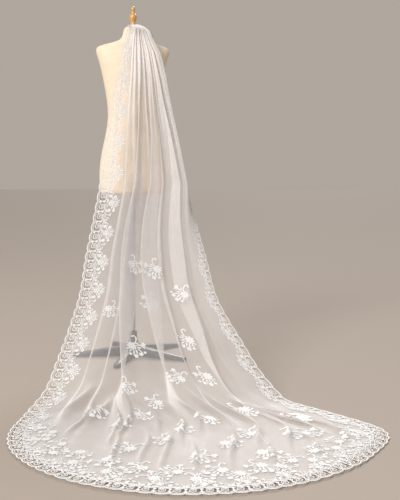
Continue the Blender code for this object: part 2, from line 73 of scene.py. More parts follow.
# The veil hanging, a row per height from the gathered edge down to the end of the train.
# along: distance down the cloth; x, y, z: middle of the cloth; half_width: half the draped width;
# turn: angle of the row about Z; wrap: how far the side edges lie behind the middle;
# fold: how far the pleats are doubled back, 0 to about 1; depth: how far they stand out, 0 to 1;
# gather: height of the small gathers; drop: how much lower the right edge hangs than the middle.
DRAPE = (
    # along, x,     y,      z,     half_width, turn, wrap,  fold, depth, gather, drop
    (0.000, 0.008, -0.030, 1.6445, 0.040, 0.00, 0.000, 0.00, 0.00, 0.0030, 0.000),
    (0.030, 0.014, -0.057, 1.6348, 0.048, 0.00, 0.003, 0.00, 0.02, 0.0040, 0.000),
    (0.065, 0.024, -0.082, 1.6180, 0.060, 0.00, 0.008, 0.04, 0.05, 0.0055, 0.000),
    (0.120, 0.026, -0.104, 1.5780, 0.074, 0.00, 0.014, 0.12, 0.06, 0.0040, 0.000),
    (0.190, 0.027, -0.128, 1.5110, 0.096, 0.00, 0.014, 0.22, 0.09, 0.0032, 0.000),
    (0.310, 0.027, -0.160, 1.3950, 0.118, 0.00, 0.012, 0.38, 0.15, 0.0026, 0.000),
    (0.460, 0.024, -0.182, 1.2460, 0.144, 0.00, 0.012, 0.60, 0.26, 0.0016, 0.000),
    (0.640, 0.027, -0.205, 1.0680, 0.177, 0.00, 0.012, 0.78, 0.42, 0.0010, 0.000),
    (0.820, 0.029, -0.242, 0.8920, 0.206, 0.00, 0.012, 0.92, 0.52, 0.0000, 0.000),
    (1.010, 0.026, -0.312, 0.7150, 0.241, 0.00, 0.010, 1.00, 0.60, 0.0000, 0.000),
    (1.200, 0.020, -0.415, 0.5560, 0.275, 0.00, 0.010, 1.02, 0.66, 0.0000, 0.020),
    (1.390, 0.016, -0.540, 0.4130, 0.302, -0.02, 0.008, 0.98, 0.68, 0.0000, 0.050),
    (1.580, 0.026, -0.680, 0.2850, 0.362, -0.05, 0.004, 0.86, 0.64, 0.0000, 0.080),
    (1.760, 0.034, -0.820, 0.1720, 0.421, -0.09, 0.000, 0.68, 0.46, 0.0000, 0.100),
    (1.910, 0.050, -0.945, 0.0800, 0.485, -0.13, 0.000, 0.48, 0.32, 0.0000, 0.088),
    (2.050, 0.068, -1.075, 0.0240, 0.570, -0.17, 0.000, 0.28, 0.20, 0.0000, 0.040),
    (2.200, 0.095, -1.222, 0.0030, 0.640, -0.21, 0.000, 0.11, 0.12, 0.0000, 0.010),
    (2.500, 0.030, -1.515, 0.0010, 0.652, -0.21, 0.000, 0.05, 0.06, 0.0000, 0.000),
    (2.840, -0.044, -1.847, 0.0005, 0.652, -0.21, 0.000, 0.00, 0.02, 0.0000, 0.000),
)

# Knife pleats that run down the cloth: where each doubled-back leg starts and ends across the cloth,
# and its side (1 comes out in front of the leg before it, -1 goes behind it).
PLEATS = (
    # start, end, side
    (-0.5489, -0.5227, 1),
    (-0.4443, -0.4182, 1),
    (-0.3398, -0.2352, 1),
    (-0.0523, 0.0523, 1),
    (0.1568, 0.1830, -1),
    (0.3136, 0.3920, -1),
)
PLEAT_ANGLE = 2.65
PLEAT_TURN = 0.011

# The share of a row's draped width that each border takes. The right one's changes down the cloth.
LEFT_SHARE = 0.27
RIGHT_SHARE = 0.08
RIGHT_SHARE_AT_TOP = 0.18
RIGHT_SHARE_GROWTH = 0.15
RIGHT_BORDER_START = 0.470

# The right border is turned under: a share of the way at the top, most at TURNED_FROM, and then back
# over TURN_BACK_LENGTH until it lies open at TURNED_TO. The strip of cloth that bends to turn it lies
# between TURN_UNDER_START and TURN_UNDER_END.
TURNED_AT_TOP = 0.3
TURNED_FROM = 0.52
TURNED_TO = 1.30
TURN_BACK_LENGTH = 0.85
TURN_UNDER_ANGLE = 2.95
TURN_UNDER_START = 0.510
TURN_UNDER_END = 0.580

# Length of one small gather across the cloth, and the height at which the pleats start to rise from
# the floor instead of hanging to both sides.
GATHER_LENGTH = 0.10455
STANDING_HEIGHT = 0.15

# Loose sprays of lace sewn on the tulle: across and down the cloth, size, and the way each turns.
SPRAYS = (
    # across, along, size, turn in degrees, mirrored
    (-0.170, 1.278, 0.034, 10, 1),
    (0.112, 1.312, 0.038, -15, -1),
    (0.272, 1.412, 0.034, 20, -1),
    (-0.098, 1.462, 0.036, -10, -1),
    (-0.484, 1.495, 0.030, 25, 1),
    (0.226, 1.660, 0.036, -20, -1),
    (-0.172, 1.720, 0.036, 15, 1),
    (0.098, 1.885, 0.034, 35, -1),
    (-0.222, 1.940, 0.036, 10, 1),
    (0.242, 1.848, 0.036, -30, -1),
    (-0.391, 2.100, 0.040, 30, 1),
    (-0.108, 2.015, 0.034, -10, -1),
    (-0.188, 2.130, 0.034, 15, 1),
    (-0.284, 2.215, 0.042, 20, 1),
    (-0.212, 2.458, 0.040, 30, -1),
    (-0.114, 2.365, 0.036, -20, -1),
    (-0.052, 2.252, 0.036, 10, 1),
    (0.070, 2.165, 0.036, -25, -1),
    (0.042, 2.535, 0.042, 25, 1),
    (0.128, 2.402, 0.038, 15, 1),
    (0.272, 2.070, 0.036, -35, -1),
    (0.186, 2.290, 0.038, 10, -1),
    (0.260, 2.492, 0.040, 30, 1),
    (0.333, 2.300, 0.036, -10, 1),
    (0.471, 2.120, 0.038, 20, -1),
    (0.410, 2.270, 0.034, -15, 1),
)

# Fine pleats that start below the gathered edge and fade out.
FINE_PLEATS = (
    # wavelength, height, phase, fades out between these two distances down the cloth
    (0.0420, 0.0010, 0.4, 0.35, 0.90),
    (0.0655, 0.0018, 2.7, 0.60, 1.90),
    (0.1470, 0.0030, 0.9, 1.20, 2.60),
)

# Soft ridges where the train has been laid on the floor, from one flat place to another.
FLOOR_RIDGES = (
    # across, along, to across, to along, half_width, height
    (-0.470, 1.92, -0.500, 2.12, 0.028, 0.024),
    (-0.345, 1.98, -0.400, 2.18, 0.020, 0.020),
    (-0.415, 2.02, -0.455, 2.30, 0.010, 0.014),
    (-0.310, 2.02, -0.280, 2.42, 0.010, 0.017),
    (-0.290, 2.30, -0.236, 2.60, 0.009, 0.013),
    (-0.225, 2.00, -0.262, 2.34, 0.010, 0.019),
    (-0.165, 2.02, -0.122, 2.30, 0.010, 0.017),
    (-0.180, 2.30, -0.146, 2.62, 0.008, 0.012),
    (-0.110, 2.28, -0.074, 2.68, 0.008, 0.012),
    (-0.075, 1.98, -0.040, 2.36, 0.010, 0.019),
    (-0.030, 2.34, 0.052, 2.68, 0.009, 0.013),
    (0.040, 2.04, 0.026, 2.28, 0.010, 0.016),
    (0.110, 1.98, 0.142, 2.30, 0.012, 0.020),
    (0.120, 2.28, 0.150, 2.62, 0.009, 0.013),
    (0.205, 2.00, 0.238, 2.42, 0.011, 0.019),
    (0.225, 2.36, 0.300, 2.62, 0.009, 0.012),
    (0.300, 2.02, 0.345, 2.44, 0.011, 0.016),
    (0.360, 1.98, 0.460, 2.24, 0.013, 0.019),
    (0.370, 2.30, 0.455, 2.48, 0.009, 0.012),
    (0.440, 2.02, 0.545, 2.32, 0.014, 0.017),
)

# One repeat of the lace border: its scallops, scrolls, inner band and the rose of its spray.
SCALLOP_COUNT = 3
SCALLOP_LENGTH = LACE_PITCH / SCALLOP_COUNT
SCALLOP_DEPTH = 0.0075
EDGE_CORD_INSET = 0.0040
EDGE_KNOTS = 18
SCROLL_INSET = 0.0305
SCROLL_RADIUS = 0.0150
SCROLL_TURNS = 1.45
BAND_INSET = 0.0495
BAND_WAVE = 0.0030
BAND_LEAVES = 12
ROSE_PLACE = (0.060, 0.0745)
ROSE_RADIUS = 0.0160

# What lies round each scroll, measured from the start of its scallop.
SCROLL_LEAVES = (
    # along, in, angle in degrees, length, width, bend
    (0.0010, 0.0165, 35, 0.0150, 0.0046, 0.0),
    (0.0335, 0.0440, 25, 0.0190, 0.0046, -0.5),
    (-0.0010, 0.0270, 70, 0.0120, 0.0044, 0.0),
    (0.0030, 0.0350, -110, 0.0120, 0.0044, 0.0),
)
SCROLL_FLOWERS = (
    # along, in, radius, turn
    (0.0010, 0.0225, 0.0062, 0.8),
    (0.0020, 0.0400, 0.0070, 0.2),
)

# The rest of the border's spray, measured from the start of the repeat.
BORDER_FLOWERS = (
    # along, in, radius
    (0.096, 0.0680, 0.0100),
    (0.026, 0.0660, 0.0095),
    (0.097, 0.0900, 0.0080),
    (0.030, 0.0880, 0.0075),
    (0.118, 0.0760, 0.0065),
    (0.006, 0.0640, 0.0060),
    (0.140, 0.0640, 0.0060),
)
BORDER_CURLS = (
    # along, in, angle in degrees, length, width, way
    (0.112, 0.0560, 60, 0.038, 0.0036, 1),
    (0.012, 0.0560, 100, 0.034, 0.0034, -1),
    (0.132, 0.0560, 110, 0.026, 0.0030, -1),
)

# A loose spray, drawn at a size of one. SPRAY_GROWTH is how much larger it is drawn than SPRAYS says.
SPRAY_GROWTH = 1.30
SPRAY_ROSE_PLACE = (-0.28, 0.16)
SPRAY_LEAVES = (
    # x, y, angle in degrees, length, width
    (0.04, -0.08, -42, 0.60, 0.19),
    (0.12, 0.06, -14, 0.42, 0.17),
    (0.12, 0.20, 6, 0.78, 0.13),
    (0.08, 0.36, 36, 0.58, 0.19),
    (-0.02, 0.48, 62, 0.58, 0.18),
    (-0.22, 0.54, 90, 0.40, 0.16),
    (-0.44, 0.52, 120, 0.30, 0.14),
    (-0.02, -0.20, -66, 0.42, 0.15),
)
SPRAY_FLOWERS = (
    # x, y, radius
    (0.64, -0.46, 0.25),
    (0.98, 0.34, 0.17),
    (0.70, 0.66, 0.24),
    (0.34, 1.02, 0.25),
    (-0.16, 1.06, 0.17),
)

# The sprays that deepen the lace round the train: how many, how far in the first lie, how deep and large.
HEM_SPRAY_COUNT = 24
HEM_SPRAY_INSET = 0.098
HEM_SPRAY_DEPTH = 0.11
HEM_SPRAY_SIZE = 0.040
HEM_SPRAY_EXTRA_SIZE = 0.008

# Dress form: height, half width, half depth and how far the middle lies from the pole.
FORM_RINGS = (
    # z,     half_width, half_depth, y
    (0.805, 0.154, 0.100, 0.010),
    (0.809, 0.158, 0.104, 0.010),
    (0.840, 0.166, 0.110, 0.010),
    (0.920, 0.169, 0.112, 0.010),
    (1.010, 0.158, 0.104, 0.008),
    (1.100, 0.136, 0.092, 0.006),
    (1.190, 0.121, 0.084, 0.008),
    (1.280, 0.130, 0.092, 0.014),
    (1.370, 0.146, 0.100, 0.018),
    (1.450, 0.164, 0.090, 0.010),
    (1.500, 0.182, 0.072, 0.004),
    (1.526, 0.187, 0.060, 0.002),
    (1.540, 0.172, 0.053, 0.001),
    (1.552, 0.128, 0.052, 0.000),
    (1.566, 0.076, 0.051, 0.000),
    (1.584, 0.054, 0.050, 0.000),
    (1.618, 0.049, 0.048, 0.000),
    (1.632, 0.045, 0.044, 0.000),
    (1.640, 0.032, 0.031, 0.000),
    (1.645, 0.015, 0.015, 0.000),
)

# Turned pieces of the stand, a row per ring.
FINIAL_RINGS = (
    # z, radius
    (1.6450, 0.0128),
    (1.6458, 0.0135),
    (1.6545, 0.0135),
    (1.6555, 0.0128),
    (1.6620, 0.0105),
    (1.6720, 0.0150),
    (1.6860, 0.0195),
    (1.6970, 0.0180),
    (1.7060, 0.0090),
    (1.7170, 0.0070),
    (1.7300, 0.0120),
    (1.7400, 0.0080),
    (1.7430, 0.0020),
)
HUB_RINGS = (
    # z, radius
    (0.0500, 0.0335),
    (0.0508, 0.0340),
    (0.0555, 0.0340),
    (0.0565, 0.0335),
    (0.0640, 0.0300),
    (0.0800, 0.0200),
    (0.0810, 0.0198),
    (0.1215, 0.0200),
    (0.1240, 0.0190),
    (0.1250, 0.0180),
)
POLE_RADIUS = 0.012
POLE_RINGS = [(z, POLE_RADIUS) for z in (0.125, 0.127, 0.460, 0.803, 0.805)]

# The photograph's point of view: level, from behind the train and a little to the left.
CAMERA_PLACE = (-0.407, -3.994, 0.850)
CAMERA_TURN = radians(-10.6)
CAMERA_LENS = 57.6
CAMERA_SHIFT = -0.130

# Each material's colour lies between a dark and a light tone.
TULLE_TONES = ((0.78, 0.745, 0.735), (0.86, 0.83, 0.82))
LACE_TONES = ((0.72, 0.705, 0.70), (0.99, 0.98, 0.975))
FORM_TONES = ((0.80, 0.66, 0.50), (0.87, 0.74, 0.58))
WOOD_TONES = ((0.50, 0.22, 0.06), (0.80, 0.47, 0.16))
POLE_TONES = ((0.40, 0.44, 0.50), (0.55, 0.60, 0.66))
ENAMEL_TONES = ((0.018, 0.018, 0.021), (0.050, 0.048, 0.047))

# The net: how wide its holes are, how much light they let through, how much of it the threads stop,
# and the limit on how far it closes up where it is seen edge on.
NET_HOLE = 0.0022
NET_OPENNESS = 0.90
NET_THREAD = 0.22
NET_EDGE_ON = 0.13

# The studio.
FLOOR_COLOUR = (0.36, 0.305, 0.262, 1.0)
WALL_COLOUR = (0.36, 0.320, 0.284, 1.0)
WALL_STRENGTH = 1.20
SKY_COLOUR = (1.0, 0.97, 0.94, 1.0)
SKY_STRENGTH = 0.50
KEY_POWER = 920.0
KEY_SIZE = 4.5
BACK_STRENGTH = 1.9
BACK_SOFTNESS = radians(28)


def smooth_step(low, high, value):
    """Rises smoothly from 0 at low to 1 at high, or falls where high is the smaller."""
    t = np.clip((value - low) / (high - low), 0.0, 1.0)
    return t * t * (3.0 - 2.0 * t)


# The draped cloth: one surface that every soft piece is laid on.
def drape_row(along):
    """One row of the DRAPE table, read smoothly between its rows."""
    table = np.array(DRAPE)
    stations = table[:, 0]
    slopes = np.gradient(table, stations, axis=0)
    k = int(np.clip(np.searchsorted(stations, along) - 1, 0, len(stations) - 2))
    step = stations[k + 1] - stations[k]
    t = (along - stations[k]) / step
    start = (2 * t**3 - 3 * t**2 + 1) * table[k] + (t**3 - 2 * t**2 + t) * step * slopes[k]
    end = (3 * t**2 - 2 * t**3) * table[k + 1] + (t**3 - t**2) * step * slopes[k + 1]
    return start + end


def pleat_angles(across):
    """Angle of the cloth to its row at each point across, with the pleats laid sharp."""
    angles = np.zeros_like(across)
    for start, end, side in PLEATS:
        leg = smooth_step(start - PLEAT_TURN, start + PLEAT_TURN, across)
        leg = leg - smooth_step(end - PLEAT_TURN, end + PLEAT_TURN, across)
        angles = angles + side * PLEAT_ANGLE * leg
    return angles


def pleat_depths(across):
    """How far the sharp pleats stand out from a level row."""
    angles = pleat_angles(across)
    step = across[1] - across[0]
    u = np.cumsum(np.cos(angles)) * step
    d = np.cumsum(np.sin(angles)) * step
    inner = np.abs(across) < TURN_UNDER_START - 0.01
    lean = np.polyfit(u[inner], d[inner], 4)
    return d - np.polyval(lean, np.clip(u, u[inner].min(), u[inner].max()))


def fine_pleats(across, along):
    """Small pleats that lie over the large folds, uneven from one to the next."""
    offset = np.zeros_like(across)
    for length, height, phase, fades_from, fades_to in FINE_PLEATS:
        uneven = across / length + 0.35 * np.sin(9.0 * across + phase)
        strength = height * smooth_step(0.10, 0.40, along) * (1 - smooth_step(fades_from, fades_to, along))
        offset += strength * np.sin(2 * pi * uneven + phase)
    return offset * (1.0 - smooth_step(0.40, 0.52, np.abs(across)))


def section(along):
    """Points of one row: (across positions, sideways offsets, outward offsets)."""
    row = drape_row(along)
    half_width, wrap, fold, depth, gather = row[4], row[6], row[7], row[8], row[9]
    across = np.linspace(-HALF_CUT, HALF_CUT, SECTION_POINTS)
    step = across[1] - across[0]
    turned = TURNED_AT_TOP + (1.0 - TURNED_AT_TOP) * smooth_step(0.0, TURNED_FROM, along)
    turned *= 1.0 - smooth_step(TURNED_TO - TURN_BACK_LENGTH, TURNED_TO, along)
    border_angles = -TURN_UNDER_ANGLE * turned * smooth_step(TURN_UNDER_START, TURN_UNDER_END, across)
    middle = (across > -HALF_CUT + BORDER_WIDTH) & (across < RIGHT_BORDER_START)
    left_share = min(1.0, LEFT_SHARE * 2 * half_width / BORDER_WIDTH)
    right_share = RIGHT_SHARE + (RIGHT_SHARE_AT_TOP - RIGHT_SHARE) * smooth_step(0.6, 0.1, along)
    right_share *= 1.0 + RIGHT_SHARE_GROWTH * along
    right_share = min(1.0, right_share * 2 * half_width / BORDER_WIDTH)
    border_share = np.where(across < 0, left_share, right_share)
    sideways = 1.0 - fold * (1.0 - np.cos(pleat_angles(across)))
    sideways = sideways * np.cos(border_angles) * step * np.where(middle, 1.0, border_share)
    # The middle is squeezed until the row is as wide as it should be, by halving the range of guesses.
    low, high = 0.0, 2.0
    for _ in range(24):
        squeeze = (low + high) / 2
        if np.ptp(np.cumsum(sideways * np.where(middle, squeeze, 1.0))) > 2 * half_width:
            high = squeeze
        else:
            low = squeeze
    u = np.cumsum(sideways * np.where(middle, squeeze, 1.0))
    u -= (u.max() + u.min()) / 2
    pleats = depth * pleat_depths(across)
    # Near the floor the pleats stand up from it.
    height = row[3] - row[10] * smooth_step(0.0, HALF_CUT, across)
    lift = smooth_step(STANDING_HEIGHT, 0.0, height) * smooth_step(0.62, 0.50, np.abs(across))
    d = pleats - pleats.min() * lift
    d = d + np.cumsum(np.sin(border_angles) * border_share) * step
    # The small gathers fade out towards the two borders.
    wave = np.cos(2 * pi * across / GATHER_LENGTH)
    wave *= 1.0 - smooth_step(0.33, 0.40, across) - smooth_step(0.50, 0.57, -across)
    d = d + gather * wave - wrap * (u / half_width) ** 2
    return across, u, d + fine_pleats(across, along)


def floor_ridges(across, along):
    """How far the laid train stands up in its soft ridges."""
    lift = np.zeros_like(across)
    for x0, y0, x1, y1, half_width, height in FLOOR_RIDGES:
        length = hypot(x1 - x0, y1 - y0)
        dx, dy = (x1 - x0) / length, (y1 - y0) / length
        down = ((across - x0) * dx + (along - y0) * dy) / length
        aside = (across - x0) * -dy + (along - y0) * dx + 0.012 * np.sin(5.0 * down)
        profile = np.exp(-((aside / half_width) ** 2))
        lift += height * profile * smooth_step(-0.25, 0.35, down) * (1 - smooth_step(0.55, 1.30, down))
    return lift


def cloth_row(along, columns):
    """Points in space of one row of the cloth, at these places across it."""
    row = drape_row(along)
    ahead = drape_row(min(along + 0.004, DRAPE[-1][0]))
    behind = drape_row(max(along - 0.004, 0.0))
    tangent = ahead[1:4] - behind[1:4]
    tangent /= np.linalg.norm(tangent)
    side = np.array((cos(row[5]), sin(row[5]), 0.0))
    outward = np.cross(tangent, side)
    outward /= np.linalg.norm(outward)
    across, u, d = section(along)
    u = np.interp(columns, across, u)
    d = np.interp(columns, across, d)
    points = row[1:4] + np.outer(u, side) + np.outer(d, outward)
    points[:, 2] -= row[10] * smooth_step(0.0, 1.0, u / row[4])
    # The cloth comes down to the floor in a soft bend and doesn't go through it.
    height = points[:, 2] - FLOOR_GAP
    points[:, 2] = FLOOR_GAP + 0.5 * (height + np.sqrt(height**2 + FLOOR_SOFTNESS**2))
    points[:, 2] += floor_ridges(columns, along)
    return points


class DrapedCloth:
    """The draped surface as a fine grid, which flat shapes are laid on."""

    def __init__(self):
        across = np.linspace(-HALF_CUT, HALF_CUT, GRID_COLUMNS)
        along = np.linspace(0.0, CLOTH_LENGTH, GRID_ROWS)
        self.points = np.array([cloth_row(distance, across) for distance in along])
        down = np.gradient(self.points, along, axis=0)
        sideways = np.gradient(self.points, across, axis=1)
        normals = np.cross(down, sideways)
        stretch = np.linalg.norm(normals, axis=2, keepdims=True)
        self.normals = normals / stretch
        # How many times over the gathers pack the flat cloth into its place.
        self.packing = np.clip(1.0 / stretch, 1.0, MOST_PACKING)

    def read(self, values, flat):
        """Values of the grid at flat points (across, along)."""
        u = (flat[:, 0] + HALF_CUT) / CLOTH_WIDTH * (GRID_COLUMNS - 1)
        v = flat[:, 1] / CLOTH_LENGTH * (GRID_ROWS - 1)
        i = np.clip(np.floor(u).astype(int), 0, GRID_COLUMNS - 2)
        j = np.clip(np.floor(v).astype(int), 0, GRID_ROWS - 2)
        f = (u - i)[:, None]
        g = (v - j)[:, None]
        near = values[j, i] * (1 - f) + values[j, i + 1] * f
        far = values[j + 1, i] * (1 - f) + values[j + 1, i + 1] * f
        return near * (1 - g) + far * g

    def place(self, flat):
        """Points in space of flat points (across, along, height)."""
        flat = np.asarray(flat, dtype=float)
        return self.read(self.points, flat) + flat[:, 2:3] * self.read(self.normals, flat)


def edge_tables():
    """Angles round the curved end of the cut, and how far along its edge each one lies."""
    angles = np.linspace(0.0, pi, 721)
    points = np.stack([-HALF_CUT * np.cos(angles), END_LENGTH * np.sin(angles)], axis=1)
    steps = np.linalg.norm(np.diff(points, axis=0), axis=1)
    return angles, np.concatenate([[0.0], np.cumsum(steps)])


ARC_ANGLES, ARC_LENGTHS = edge_tables()
EDGE_LENGTH = 2 * SIDE_LENGTH + float(ARC_LENGTHS[-1])


def edge_points(distance, inset):
    """Flat places this far along the cut edge, from the top of the left side round to the right."""
    angle = np.interp(distance - SIDE_LENGTH, ARC_LENGTHS, ARC_ANGLES)
    nx, ny = -END_LENGTH * np.cos(angle), HALF_CUT * np.sin(angle)
    length = np.hypot(nx, ny)
    x = -HALF_CUT * np.cos(angle) - inset * nx / length
    y = SIDE_LENGTH + END_LENGTH * np.sin(angle) - inset * ny / length
    left = distance < SIDE_LENGTH
    right = distance > EDGE_LENGTH - SIDE_LENGTH
    x = np.where(left, -HALF_CUT + inset, np.where(right, HALF_CUT - inset, x))
    y = np.where(left, distance, np.where(right, EDGE_LENGTH - distance, y))
    return x, y


# Lace drawn flat.
class FlatLace:
    """Cords, leaves and flowers drawn as low raised shapes on a flat place."""

    def __init__(self):
        self.points = []
        self.faces = []

    def add(self, points, faces):
        first = len(self.points)
        self.points.extend(points)
        self.faces.extend([tuple(first + k for k in face) for face in faces])

    def cord(self, path, width, closed=False, tapered=False):
        """A rounded cord along a flat path."""
        path = np.asarray(path, dtype=float)
        if closed:
            tangents = np.roll(path, -1, axis=0) - np.roll(path, 1, axis=0)
        else:
            tangents = np.gradient(path, axis=0)
        tangents /= np.linalg.norm(tangents, axis=1, keepdims=True) + 1e-9
        aside = np.stack([-tangents[:, 1], tangents[:, 0]], axis=1)
        count = len(path)
        half = np.full(count, width / 2)
        if tapered:
            half *= 0.35 + 0.65 * np.sin(np.linspace(0.12, 1.0, count) * pi / 1.25)
        points = []
        for k in range(count):
            left = path[k] + aside[k] * half[k]
            right = path[k] - aside[k] * half[k]
            points += [(*left, 0.0), (*path[k], CORD_RISE), (*right, 0.0)]
        faces = []
        for k in range(count if closed else count - 1):
            a, b = 3 * k, 3 * ((k + 1) % count)
            faces += [(a, a + 1, b + 1, b), (a + 1, a + 2, b + 2, b + 1)]
        self.add(points, faces)

    def leaf(self, x, y, angle, length, width, rise=LEAF_RISE, bend=0.0):
        """A pointed leaf that starts at (x, y), with a raised middle rib."""
        widths = (0.0, 0.62, 1.0, 0.92, 0.58, 0.0)
        points = []
        for k, share in enumerate(widths):
            t = k / (len(widths) - 1)
            turn = angle + bend * t
            cx, cy = x + length * t * cos(turn), y + length * t * sin(turn)
            half = width / 2 * share
            for side in (-1, 0, 1):
                lift = rise if side == 0 else 0.0
                points.append((cx - side * half * sin(turn), cy + side * half * cos(turn), lift))
        faces = []
        for k in range(len(widths) - 1):
            a, b = 3 * k, 3 * (k + 1)
            if k == 0:
                faces += [(a + 1, b, b + 1), (a + 1, b + 1, b + 2)]
            elif k == len(widths) - 2:
                faces += [(a, b + 1, a + 1), (a + 1, b + 1, a + 2)]
            else:
                faces += [(a, b, b + 1, a + 1), (a + 1, b + 1, b + 2, a + 2)]
        self.add(points, faces)

    def disc(self, x, y, radius, sides=8):
        """A low round knot."""
        points = [(x, y, DISC_RISE)]
        for k in range(sides):
            angle = 2 * pi * k / sides
            points.append((x + radius * cos(angle), y + radius * sin(angle), 0.0))
        faces = [(0, 1 + k, 1 + (k + 1) % sides) for k in range(sides)]
        self.add(points, faces)

    def ring(self, x, y, radius, width, sides=16):
        """A round loop of cord."""
        angles = np.linspace(0.0, 2 * pi, sides, endpoint=False)
        path = np.stack([x + radius * np.cos(angles), y + radius * np.sin(angles)], axis=1)
        self.cord(path, width, closed=True)

    def flower(self, x, y, radius, turn):
        """A small open flower of five petals with a knot in its middle."""
        for k in range(5):
            angle = turn + 2 * pi * k / 5
            self.leaf(x, y, angle, radius, radius * 0.85)
        self.disc(x, y, radius * 0.28, sides=6)

    def rose(self, x, y, radius, turn):
        """A round rose: a knot, a ring of cord and a circle of petals."""
        for k in range(8):
            angle = turn + 2 * pi * k / 8
            start_x, start_y = x + 0.42 * radius * cos(angle), y + 0.42 * radius * sin(angle)
            self.leaf(start_x, start_y, angle + 0.35, 0.66 * radius, 0.52 * radius, bend=-0.3)
        self.ring(x, y, 0.46 * radius, 0.22 * radius)
        self.disc(x, y, 0.22 * radius)

    def curl(self, x, y, angle, length, width, way):
        """A stem that hooks over into a curl at its end."""
        path = []
        px, py, heading = x, y, angle
        count = 22
        for k in range(count):
            path.append((px, py))
            t = k / (count - 1)
            heading += way * (0.02 + 0.42 * t**2.2)
            px += length / count * cos(heading) * (1.15 - 0.5 * t)
            py += length / count * sin(heading) * (1.15 - 0.5 * t)
        self.cord(path, width, tapered=True)
        self.disc(px, py, width * 0.75, sides=6)


def scroll_path(x, y, radius, start, way):
    """Points of a scroll that winds inwards from its start angle."""
    angles = np.linspace(0.0, 2 * pi * SCROLL_TURNS, 26)
    reach = radius * (1.0 - 0.62 * angles / angles[-1])
    turned = start + way * angles
    return np.stack([x + reach * np.cos(turned), y + reach * np.sin(turned)], axis=1)


def fan(lace, x, y, inner, leaves, width):
    """Leaves that spread from a round middle. Each is (angle in degrees, length)."""
    for degrees, length in leaves:
        angle = radians(degrees)
        start_x, start_y = x + inner * cos(angle), y + inner * sin(angle)
        lace.leaf(start_x, start_y, angle, length, width, bend=0.25)


def scallop_dip(along):
    """How far in the scalloped edge lies: 0 at the tip of a scallop and 1 between two of them."""
    return 1.0 - np.abs(np.sin(pi * along / SCALLOP_LENGTH)) ** 0.7


def border_repeat():
    """One repeat of the border, drawn along its edge: distance along and distance in."""
    lace = FlatLace()
    along = np.linspace(0.0, LACE_PITCH, 49)
    scallop = EDGE_CORD_INSET + SCALLOP_DEPTH * scallop_dip(along)
    lace.cord(np.stack([along, scallop], axis=1), 0.0044)
    lace.cord(np.stack([along, scallop + 0.0068], axis=1), 0.0024)
    for k in range(EDGE_KNOTS):
        place = LACE_PITCH * (k + 0.5) / EDGE_KNOTS
        lace.disc(place, 0.0018 + 0.0070 * scallop_dip(place), 0.0021, sides=6)
    # Scrolls chained by small flowers, with leaves across the open places between them.
    for k in range(SCALLOP_COUNT):
        start = k * SCALLOP_LENGTH
        middle = start + SCALLOP_LENGTH / 2
        way = (-1) ** k
        first_angle = 0.6 if way > 0 else pi - 0.6
        lace.cord(scroll_path(middle, SCROLL_INSET, SCROLL_RADIUS, first_angle, way), 0.0034)
        lace.disc(middle, SCROLL_INSET, 0.0030, sides=6)
        for x, y, degrees, length, width, bend in SCROLL_LEAVES:
            lace.leaf(start + x, y, radians(degrees), length, width, bend=bend)
        for x, y, radius, turn in SCROLL_FLOWERS:
            lace.flower(start + x, y, radius, turn)
    band = BAND_INSET + BAND_WAVE * np.cos(2 * pi * along / SCALLOP_LENGTH)
    lace.cord(np.stack([along, band], axis=1), 0.0034)
    lace.cord(np.stack([along, band + 0.0050], axis=1), 0.0020)
    for k in range(BAND_LEAVES):
        place = LACE_PITCH * (k + 0.5) / BAND_LEAVES
        lace.leaf(place, 0.0520, radians(90 + 30 * (-1) ** k), 0.0110, 0.0044)
    # The spray: a rose with fine leaves fanned inwards, small flowers and curls.
    lace.rose(*ROSE_PLACE, ROSE_RADIUS, turn=0.3)
    lace.ring(*ROSE_PLACE, 0.0040, 0.0016, sides=12)
    leaves = [(8 + 19 * k, 0.0200 + 0.0045 * (k % 2) + 0.0040 * sin(0.35 * k)) for k in range(10)]
    fan(lace, *ROSE_PLACE, 0.0135, leaves, 0.0058)
    tips = [(28, 0.0120), (66, 0.0120), (104, 0.0120), (142, 0.0110)]
    fan(lace, *ROSE_PLACE, 0.0270, tips, 0.0042)
    for x, y, radius in BORDER_FLOWERS:
        lace.flower(x, y, radius, turn=40.0 * x)
    for x, y, degrees, length, width, way in BORDER_CURLS:
        lace.curl(x, y, radians(degrees), length, width, way)
    return lace


def spray_motif():
    """A loose spray drawn at a size of one: a rose, leaves, a long hooked curl and small flowers."""
    lace = FlatLace()
    lace.rose(*SPRAY_ROSE_PLACE, 0.44, turn=0.2)
    lace.ring(*SPRAY_ROSE_PLACE, 0.30, 0.07, sides=16)
    lace.ring(*SPRAY_ROSE_PLACE, 0.13, 0.06, sides=12)
    lace.curl(-0.10, -0.16, radians(-82), 1.35, 0.15, way=-1)
    for x, y, degrees, length, width in SPRAY_LEAVES:
        lace.leaf(x, y, radians(degrees), length, width, rise=0.022, bend=0.3)
    for x, y, radius in SPRAY_FLOWERS:
        lace.flower(x, y, radius, turn=5.0 * x)
    lace.curl(0.52, -0.20, radians(-20), 0.46, 0.08, way=1)
    return lace


# Meshes and pieces.
def sheet_object(name, flat, faces, cloth):
    """A piece made from flat points, laid on the draped cloth, with its flat place as its UV map."""
    mesh = bpy.data.meshes.new(name)
    mesh.from_pydata(cloth.place(flat).tolist(), [], faces)
    layer = mesh.uv_layers.new(name="flat")
    corners = np.empty(len(mesh.loops), dtype=np.int32)
    mesh.loops.foreach_get("vertex_index", corners)
    layer.data.foreach_set("uv", np.asarray(flat)[corners, :2].ravel())
    mesh.shade_smooth()
    obj = bpy.data.objects.new(name, mesh)
    bpy.context.scene.collection.objects.link(obj)
    return obj


